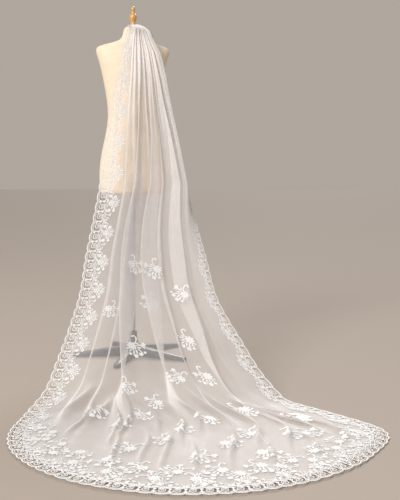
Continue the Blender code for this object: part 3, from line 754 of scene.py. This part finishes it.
def make_tulle(cloth):
    """The tulle panel down to its curved end. Its columns lie closer together at the sides."""
    half = HALF_CUT - TULLE_INSET
    t = np.linspace(-1.0, 1.0, TULLE_COLUMNS)
    across = half * (0.55 * np.sin(t * pi / 2) + 0.45 * t)
    end = SIDE_LENGTH + (END_LENGTH - TULLE_INSET) * np.sqrt(np.maximum(0.0, 1 - (across / half) ** 2))
    share = np.linspace(0.0, 1.0, TULLE_ROWS)
    flat = np.empty((TULLE_ROWS, TULLE_COLUMNS, 3))
    flat[:, :, 0] = across
    flat[:, :, 1] = share[:, None] * end
    flat[:, :, 2] = 0.0
    faces = []
    for j in range(TULLE_ROWS - 1):
        for i in range(TULLE_COLUMNS - 1):
            k = j * TULLE_COLUMNS + i
            faces.append((k, k + TULLE_COLUMNS, k + TULLE_COLUMNS + 1, k + 1))
    flat = flat.reshape(-1, 3)
    obj = sheet_object("tulle", flat, faces, cloth)
    packing = obj.data.attributes.new("packing", "FLOAT", "POINT")
    packing.data.foreach_set("value", cloth.read(cloth.packing, flat)[:, 0])
    return obj


def copies_of(lace, placed):
    """Flat points and faces of copies of one drawing, from the flat points of each copy."""
    count = len(lace.points)
    faces = []
    for index in range(len(placed)):
        faces += [tuple(index * count + k for k in face) for face in lace.faces]
    return np.concatenate(placed), faces


def lay_border(start, end):
    """Flat points and faces of the border between two distances along the cut edge."""
    lace = border_repeat()
    drawn = np.array(lace.points)
    repeats = round((end - start) / LACE_PITCH)
    pitch = (end - start) / repeats
    placed = []
    for index in range(repeats):
        distance = start + (drawn[:, 0] / LACE_PITCH + index) * pitch
        x, y = edge_points(distance, drawn[:, 1])
        placed.append(np.stack([x, y, LACE_HEIGHT + drawn[:, 2]], axis=1))
    return copies_of(lace, placed)


def lay_sprays(places):
    """Flat points and faces of sprays at (across, along, size, turn in degrees, mirrored)."""
    lace = spray_motif()
    drawn = np.array(lace.points)
    placed = []
    for across, along, size, degrees, mirrored in places:
        turn = radians(degrees)
        x, y = mirrored * drawn[:, 0] * size, drawn[:, 1] * size
        points = np.empty_like(drawn)
        points[:, 0] = across + x * cos(turn) - y * sin(turn)
        points[:, 1] = along + x * sin(turn) + y * cos(turn)
        points[:, 2] = LACE_HEIGHT + np.minimum(drawn[:, 2] * size, MOST_SPRAY_RISE)
        placed.append(points)
    return copies_of(lace, placed)


def hem_spray_places():
    """Two rows of sprays that deepen the lace round the train, deepest at its end."""
    places = []
    for k in range(HEM_SPRAY_COUNT):
        share = (k + 0.5) / HEM_SPRAY_COUNT
        distance = SIDE_LENGTH + share * (EDGE_LENGTH - 2 * SIDE_LENGTH)
        depth = HEM_SPRAY_DEPTH * sin(pi * share) ** 0.5
        inset = HEM_SPRAY_INSET + depth * (0.30 + 0.55 * (k % 2))
        x, y = edge_points(np.array([distance]), inset)
        size = HEM_SPRAY_SIZE + HEM_SPRAY_EXTRA_SIZE * sin(pi * share)
        degrees = 180.0 * share - 90.0 + 70.0 * sin(2.4 * k)
        places.append((float(x[0]), float(y[0]), size, degrees, (-1) ** k))
    return places


def make_sprays(cloth):
    """The loose sprays, all in one mesh."""
    places = [(across, along, SPRAY_GROWTH * size, *rest) for across, along, size, *rest in SPRAYS]
    flat, faces = lay_sprays(places)
    return sheet_object("loose_sprays", flat, faces, cloth)


def make_hem(cloth):
    """The lace round the train: the border's repeats with deeper sprays laid on them."""
    flat, faces = lay_border(SIDE_LENGTH, EDGE_LENGTH - SIDE_LENGTH)
    more_flat, more_faces = lay_sprays(hem_spray_places())
    faces += [tuple(len(flat) + k for k in face) for face in more_faces]
    return sheet_object("border_hem", np.concatenate([flat, more_flat]), faces, cloth)


def make_side(name, start, end, cloth):
    """The border between two distances along the cut edge."""
    flat, faces = lay_border(start, end)
    return sheet_object(name, flat, faces, cloth)


def deselect_all():
    for obj in list(bpy.context.selected_objects):
        obj.select_set(False)


def finish_object(obj, subdivisions=0):
    """Applies the modifiers and the place, and smooths all but the sharp edges."""
    if subdivisions:
        smooth = obj.modifiers.new("smooth", "SUBSURF")
        smooth.levels = subdivisions
        smooth.render_levels = subdivisions
        bpy.ops.object.modifier_apply(modifier=smooth.name)
    bpy.ops.object.transform_apply(location=True, rotation=True, scale=True)
    bpy.ops.object.shade_smooth_by_angle(angle=radians(40))
    return obj


def draw_out(name, rings, sides, subdivisions):
    """A closed piece drawn out ring by ring from a circle. Each ring is (z, half_width, half_depth, y)."""
    deselect_all()
    z, half_width, half_depth, y = rings[0]
    bpy.ops.mesh.primitive_circle_add(vertices=sides, radius=1.0, fill_type="NGON", location=(0, y, z))
    obj = bpy.context.object
    obj.name = name
    obj.data.name = name
    bpy.ops.object.mode_set(mode="EDIT")
    bpy.ops.mesh.select_mode(type="FACE")
    bpy.ops.mesh.select_all(action="SELECT")
    bpy.ops.transform.resize(value=(half_width, half_depth, 1.0), center_override=(0, y, z))
    for after in rings[1:]:
        rise, shift = after[0] - z, after[3] - y
        grow = (after[1] / half_width, after[2] / half_depth, 1.0)
        bpy.ops.mesh.extrude_region_move(TRANSFORM_OT_translate={"value": (0, shift, rise)})
        z, half_width, half_depth, y = after
        bpy.ops.transform.resize(value=grow, center_override=(0, y, z))
    bpy.ops.mesh.select_all(action="SELECT")
    bpy.ops.mesh.normals_make_consistent(inside=False)
    bpy.ops.object.mode_set(mode="OBJECT")
    return finish_object(obj, subdivisions)


def turned_rings(rows):
    """Rings for draw_out from rows of (z, radius)."""
    return [(z, radius, radius, 0.0) for z, radius in rows]


def make_legs():
    """The star of legs from its CAD shape, with its edges rounded."""
    deselect_all()
    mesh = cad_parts["stand_base"].data.copy()
    mesh.name = "base_legs"
    mesh.materials.clear()
    bm = bmesh.new()
    bm.from_mesh(mesh)
    bmesh.ops.remove_doubles(bm, verts=bm.verts[:], dist=1e-6)
    bmesh.ops.dissolve_limit(bm, angle_limit=radians(1), verts=bm.verts[:], edges=bm.edges[:])
    bm.to_mesh(mesh)
    bm.free()
    obj = bpy.data.objects.new("base_legs", mesh)
    bpy.context.scene.collection.objects.link(obj)
    bpy.context.view_layer.objects.active = obj
    obj.select_set(True)
    bevel = obj.modifiers.new("rounded", "BEVEL")
    bevel.width = 0.004
    bevel.segments = 3
    bevel.angle_limit = radians(25)
    bpy.ops.object.modifier_apply(modifier=bevel.name)
    return finish_object(obj)


# Materials.
def new_group(name, inputs, outputs):
    """An empty shader node group. Inputs are (name, type, value) and outputs are (name, type)."""
    group = bpy.data.node_groups.new(name, "ShaderNodeTree")
    for socket_name, kind, value in inputs:
        socket = group.interface.new_socket(socket_name, in_out="INPUT", socket_type=kind)
        if value is not None:
            socket.default_value = value
    for socket_name, kind in outputs:
        group.interface.new_socket(socket_name, in_out="OUTPUT", socket_type=kind)
    group.nodes.new("NodeGroupInput").name = "in"
    group.nodes.new("NodeGroupOutput").name = "out"
    return group


def math_node(tree, operation, *values, clamp=False):
    """A Math node fed by sockets or numbers, and its result."""
    node = tree.nodes.new("ShaderNodeMath")
    node.operation = operation
    node.use_clamp = clamp
    for slot, value in enumerate(values):
        if isinstance(value, (int, float)):
            node.inputs[slot].default_value = value
        else:
            tree.links.new(value, node.inputs[slot])
    return node.outputs[0]


def net_group():
    """Six-sided net: how much thread lies at a place, from its flat position and the size of its holes."""
    group = new_group(
        "bobbin net",
        [("Vector", "NodeSocketVector", None), ("Hole", "NodeSocketFloat", 0.002)],
        [("Thread", "NodeSocketFloat")],
    )
    nodes, links = group.nodes, group.links
    parts = nodes.new("ShaderNodeSeparateXYZ")
    links.new(nodes["in"].outputs["Vector"], parts.inputs[0])
    turns = math_node(group, "DIVIDE", 2 * pi / 0.866, nodes["in"].outputs["Hole"])
    total = None
    for degrees in (0, 60, 120):
        a = math_node(group, "MULTIPLY", parts.outputs[0], cos(radians(degrees)))
        b = math_node(group, "MULTIPLY", parts.outputs[1], sin(radians(degrees)))
        phase = math_node(group, "MULTIPLY", math_node(group, "ADD", a, b), turns)
        wave = math_node(group, "COSINE", phase)
        total = wave if total is None else math_node(group, "ADD", total, wave)
    # The sum is 3 in the middle of a hole and lowest on the threads between.
    thread = math_node(group, "MULTIPLY_ADD", total, -0.45, 0.45)
    clamped = math_node(group, "MAXIMUM", math_node(group, "MINIMUM", thread, 1.0), 0.0)
    links.new(clamped, nodes["out"].inputs["Thread"])
    return group


def fine_grain_group():
    """Uneven fine grain for cloth, thread, wood and metal: a mask from 0 to 1."""
    group = new_group(
        "fine grain",
        [
            ("Vector", "NodeSocketVector", None),
            ("Scale", "NodeSocketFloat", 200.0),
            ("Low", "NodeSocketFloat", 0.35),
            ("High", "NodeSocketFloat", 0.65),
        ],
        [("Mask", "NodeSocketFloat")],
    )
    nodes, links = group.nodes, group.links
    noise = nodes.new("ShaderNodeTexNoise")
    noise.inputs["Detail"].default_value = 3.0
    links.new(nodes["in"].outputs["Vector"], noise.inputs["Vector"])
    links.new(nodes["in"].outputs["Scale"], noise.inputs["Scale"])
    spread = nodes.new("ShaderNodeMapRange")
    links.new(noise.outputs["Fac"], spread.inputs["Value"])
    links.new(nodes["in"].outputs["Low"], spread.inputs["From Min"])
    links.new(nodes["in"].outputs["High"], spread.inputs["From Max"])
    links.new(spread.outputs[0], nodes["out"].inputs["Mask"])
    return group


class Maker:
    """A new material and short ways to add its nodes."""

    def __init__(self, name, roughness=0.6, metallic=0.0):
        self.material = bpy.data.materials.new(name)
        self.material.use_nodes = True
        self.tree = self.material.node_tree
        self.shader = self.tree.nodes["Principled BSDF"]
        self.shader.inputs["Roughness"].default_value = roughness
        self.shader.inputs["Metallic"].default_value = metallic

    def node(self, kind, **values):
        node = self.tree.nodes.new(kind)
        for name, value in values.items():
            setattr(node, name, value)
        return node

    def link(self, source, target):
        self.tree.links.new(source, target)

    def object_place(self):
        return self.node("ShaderNodeTexCoord").outputs["Object"]

    def flat_place(self):
        return self.node("ShaderNodeUVMap", uv_map="flat").outputs["UV"]

    def group(self, tree, vector, **values):
        node = self.node("ShaderNodeGroup", node_tree=tree)
        self.link(vector, node.inputs["Vector"])
        for name, value in values.items():
            node.inputs[name.capitalize()].default_value = value
        return node.outputs[0]

    def stretched(self, vector, scale):
        mapping = self.node("ShaderNodeMapping")
        mapping.inputs["Scale"].default_value = scale
        self.link(vector, mapping.inputs["Vector"])
        return mapping.outputs[0]

    def colour_between(self, mask, dark, light):
        mix = self.node("ShaderNodeMix", data_type="RGBA")
        mix.inputs[6].default_value = (*dark, 1.0)
        mix.inputs[7].default_value = (*light, 1.0)
        self.link(mask, mix.inputs[0])
        self.link(mix.outputs[2], self.shader.inputs["Base Color"])

    def spread(self, mask, low, high, target):
        """Feeds a mask, spread between two values, to a socket."""
        spread = self.node("ShaderNodeMapRange")
        spread.inputs["To Min"].default_value = low
        spread.inputs["To Max"].default_value = high
        self.link(mask, spread.inputs["Value"])
        self.link(spread.outputs[0], target)

    def bump(self, height, strength, distance):
        bump = self.node("ShaderNodeBump")
        bump.inputs["Strength"].default_value = strength
        bump.inputs["Distance"].default_value = distance
        self.link(height, bump.inputs["Height"])
        self.link(bump.outputs[0], self.shader.inputs["Normal"])


def tulle_material(net, grain):
    """Sheer net: threads with open holes, which closes up where it is seen edge on."""
    maker = Maker("tulle", roughness=0.85)
    flat = maker.flat_place()
    thread = maker.group(net, flat, hole=NET_HOLE)
    cloud = maker.group(grain, flat, scale=14.0, low=0.3, high=0.7)
    maker.colour_between(cloud, *TULLE_TONES)
    maker.shader.inputs["Sheen Weight"].default_value = 0.25
    maker.shader.inputs["Sheen Roughness"].default_value = 0.4
    facing = maker.node("ShaderNodeLayerWeight")
    facing.inputs["Blend"].default_value = 0.5
    tree = maker.tree
    towards = math_node(tree, "SUBTRACT", 1.0, facing.outputs["Facing"])
    towards = math_node(tree, "MAXIMUM", towards, NET_EDGE_ON)
    holes = math_node(tree, "MULTIPLY_ADD", thread, -NET_THREAD, NET_OPENNESS)
    packing = maker.node("ShaderNodeAttribute", attribute_name="packing").outputs["Fac"]
    passed = math_node(tree, "POWER", holes, math_node(tree, "DIVIDE", packing, towards))
    maker.link(math_node(tree, "SUBTRACT", 1.0, passed), maker.shader.inputs["Alpha"])
    return maker.material


def lace_material(grain):
    """White corded thread with the fine stitches of embroidery."""
    maker = Maker("lace", roughness=0.7)
    flat = maker.flat_place()
    mottle = maker.group(grain, flat, scale=160.0, low=0.3, high=0.7)
    maker.colour_between(mottle, *LACE_TONES)
    stitches = maker.node("ShaderNodeTexWave", wave_type="BANDS", bands_direction="DIAGONAL")
    stitches.inputs["Scale"].default_value = 170.0
    stitches.inputs["Distortion"].default_value = 5.0
    stitches.inputs["Detail"].default_value = 1.0
    maker.link(flat, stitches.inputs["Vector"])
    maker.bump(stitches.outputs["Fac"], 0.7, 0.0010)
    maker.shader.inputs["Sheen Weight"].default_value = 0.15
    return maker.material


def form_material(grain):
    """Cream jersey stretched over the form, with its fine ribs and a seam down the middle."""
    maker = Maker("form_cloth", roughness=0.88)
    place = maker.object_place()
    mottle = maker.group(grain, place, scale=38.0, low=0.25, high=0.75)
    maker.colour_between(mottle, *FORM_TONES)
    ribs = maker.node("ShaderNodeTexWave", wave_type="BANDS", bands_direction="X")
    ribs.inputs["Scale"].default_value = 160.0
    ribs.inputs["Distortion"].default_value = 1.2
    maker.link(place, ribs.inputs["Vector"])
    parts = maker.node("ShaderNodeSeparateXYZ")
    maker.link(place, parts.inputs[0])
    seam = math_node(maker.tree, "ABSOLUTE", parts.outputs[0])
    seam = math_node(maker.tree, "MULTIPLY", seam, 900.0, clamp=True)
    height = math_node(maker.tree, "MULTIPLY_ADD", ribs.outputs["Fac"], 0.15, seam)
    maker.bump(height, 0.5, 0.0010)
    maker.shader.inputs["Sheen Weight"].default_value = 0.2
    return maker.material


def wood_material(grain):
    """Varnished turned wood, orange gold, with grain along its length."""
    maker = Maker("finial_wood", roughness=0.35)
    place = maker.stretched(maker.object_place(), (1.0, 1.0, 0.12))
    streaks = maker.group(grain, place, scale=420.0, low=0.3, high=0.7)
    maker.colour_between(streaks, *WOOD_TONES)
    maker.spread(streaks, 0.40, 0.28, maker.shader.inputs["Roughness"])
    maker.bump(streaks, 0.15, 0.0005)
    maker.shader.inputs["Coat Weight"].default_value = 0.5
    maker.shader.inputs["Coat Roughness"].default_value = 0.15
    return maker.material


def pole_material(grain):
    """Satin steel with fine lines drawn along the tube."""
    maker = Maker("pole_metal", roughness=0.3, metallic=1.0)
    place = maker.stretched(maker.object_place(), (1.0, 1.0, 0.02))
    lines = maker.group(grain, place, scale=1500.0, low=0.3, high=0.7)
    maker.colour_between(lines, *POLE_TONES)
    maker.spread(lines, 0.26, 0.42, maker.shader.inputs["Roughness"])
    maker.bump(lines, 0.1, 0.0003)
    return maker.material


def enamel_material(grain):
    """Black enamel with a faint orange-peel surface and dust on it."""
    maker = Maker("base_metal", roughness=0.4)
    place = maker.object_place()
    dust = maker.group(grain, place, scale=30.0, low=0.45, high=0.80)
    maker.colour_between(dust, *ENAMEL_TONES)
    maker.spread(dust, 0.32, 0.62, maker.shader.inputs["Roughness"])
    peel = maker.group(grain, place, scale=350.0)
    maker.bump(peel, 0.12, 0.0004)
    return maker.material


def floor_material():
    """Plain matt floor."""
    maker = Maker("studio_floor", roughness=0.8)
    maker.shader.inputs["Base Color"].default_value = FLOOR_COLOUR
    maker.shader.inputs["Specular IOR Level"].default_value = 0.2
    return maker.material


# Camera, light and floor.
def make_camera():
    """The camera, level and shifted down, so that upright lines stay upright."""
    data = bpy.data.cameras.new("camera")
    data.sensor_fit = "VERTICAL"
    data.sensor_height = 36.0
    data.lens = CAMERA_LENS
    data.shift_y = CAMERA_SHIFT
    data.clip_end = 200.0
    camera = bpy.data.objects.new("camera", data)
    camera.location = CAMERA_PLACE
    camera.rotation_euler = (radians(90), 0.0, CAMERA_TURN)
    bpy.context.scene.collection.objects.link(camera)
    bpy.context.scene.camera = camera


def add_light(name, kind, place, target, energy, colour):
    """A light aimed at a target. Gives its data, for the settings that only its kind has."""
    data = bpy.data.lights.new(name, kind)
    data.energy = energy
    data.color = colour
    light = bpy.data.objects.new(name, data)
    light.location = place
    light.rotation_euler = (Vector(target) - Vector(place)).to_track_quat("-Z", "Y").to_euler()
    bpy.context.scene.collection.objects.link(light)
    return data


def make_lights():
    """A large soft key light from the left of the camera, and a soft sun from beyond the form."""
    key = add_light("key", "AREA", (-6.0, -7.0, 5.5), (0.0, -0.5, 0.8), KEY_POWER, (1.0, 0.98, 0.95))
    key.shape = "DISK"
    key.size = KEY_SIZE
    back = add_light("back", "SUN", (1.8, 5.0, 5.0), (0.0, -0.3, 0.7), BACK_STRENGTH, (1.0, 0.98, 0.96))
    back.angle = BACK_SOFTNESS


def make_world():
    """Soft light from all sides, and a plain wall where the camera looks past the floor."""
    world = bpy.data.worlds.new("studio")
    bpy.context.scene.world = world
    world.use_nodes = True
    tree = world.node_tree
    sky = tree.nodes["Background"]
    sky.inputs["Color"].default_value = SKY_COLOUR
    sky.inputs["Strength"].default_value = SKY_STRENGTH
    wall = tree.nodes.new("ShaderNodeBackground")
    wall.inputs["Color"].default_value = WALL_COLOUR
    wall.inputs["Strength"].default_value = WALL_STRENGTH
    path = tree.nodes.new("ShaderNodeLightPath")
    mix = tree.nodes.new("ShaderNodeMixShader")
    tree.links.new(path.outputs["Is Camera Ray"], mix.inputs[0])
    tree.links.new(sky.outputs[0], mix.inputs[1])
    tree.links.new(wall.outputs[0], mix.inputs[2])
    tree.links.new(mix.outputs[0], tree.nodes["World Output"].inputs["Surface"])


def make_floor():
    """A wide plain floor, a hair below the ground plane."""
    deselect_all()
    bpy.ops.mesh.primitive_plane_add(size=300.0, location=(0.0, 0.0, -0.0005))
    floor = bpy.context.object
    floor.name = "studio_floor"
    floor.data.materials.append(floor_material())


def dress(piece, material, slot, *nodes):
    """Gives a piece its material, and lets it stand for its CAD nodes."""
    piece.data.materials.clear()
    piece.data.materials.append(material)
    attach(piece, "root")
    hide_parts(*nodes)


def make_veil(grain):
    """The tulle and the pieces of lace that are sewn on it."""
    cloth = DrapedCloth()
    tulle = make_tulle(cloth)
    dress(tulle, tulle_material(net_group(), grain), "tulle", "tulle_panel")
    thread = lace_material(grain)
    left = make_side("border_left", 0.0, SIDE_LENGTH, cloth)
    dress(left, thread, "lace", "lace_left")
    hem = make_hem(cloth)
    dress(hem, thread, "lace", "lace_hem")
    right = make_side("border_right", EDGE_LENGTH - SIDE_LENGTH, EDGE_LENGTH, cloth)
    dress(right, thread, "lace", "lace_right")
    sprays = make_sprays(cloth)
    dress(sprays, thread, "lace", *[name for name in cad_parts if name.startswith("spray_")])
    return tulle, [left, hem, right, sprays]


def make_stand(grain):
    """The dress form with its finial, pole, hub and legs."""
    form = draw_out("form_body", FORM_RINGS, 48, 1)
    dress(form, form_material(grain), "form_cloth", "dress_form")
    finial = draw_out("turned_finial", turned_rings(FINIAL_RINGS), 24, 2)
    dress(finial, wood_material(grain), "finial_wood", "finial")
    pole = draw_out("stand_pole", turned_rings(POLE_RINGS), 32, 0)
    dress(pole, pole_material(grain), "pole_metal", "pole")
    enamel = enamel_material(grain)
    hub = draw_out("stand_hub", turned_rings(HUB_RINGS), 32, 1)
    dress(hub, enamel, "base_metal", "base_hub")
    dress(make_legs(), enamel, "base_metal", "stand_base")


def build():
    make_camera()
    make_world()
    make_floor()
    make_lights()
    grain = fine_grain_group()
    tulle, lace = make_veil(grain)
    make_stand(grain)


build()
# Plain colours, and enough layers of see-through net for a ray to pass.
bpy.context.scene.view_settings.view_transform = "Standard"
bpy.context.scene.cycles.transparent_max_bounces = 40
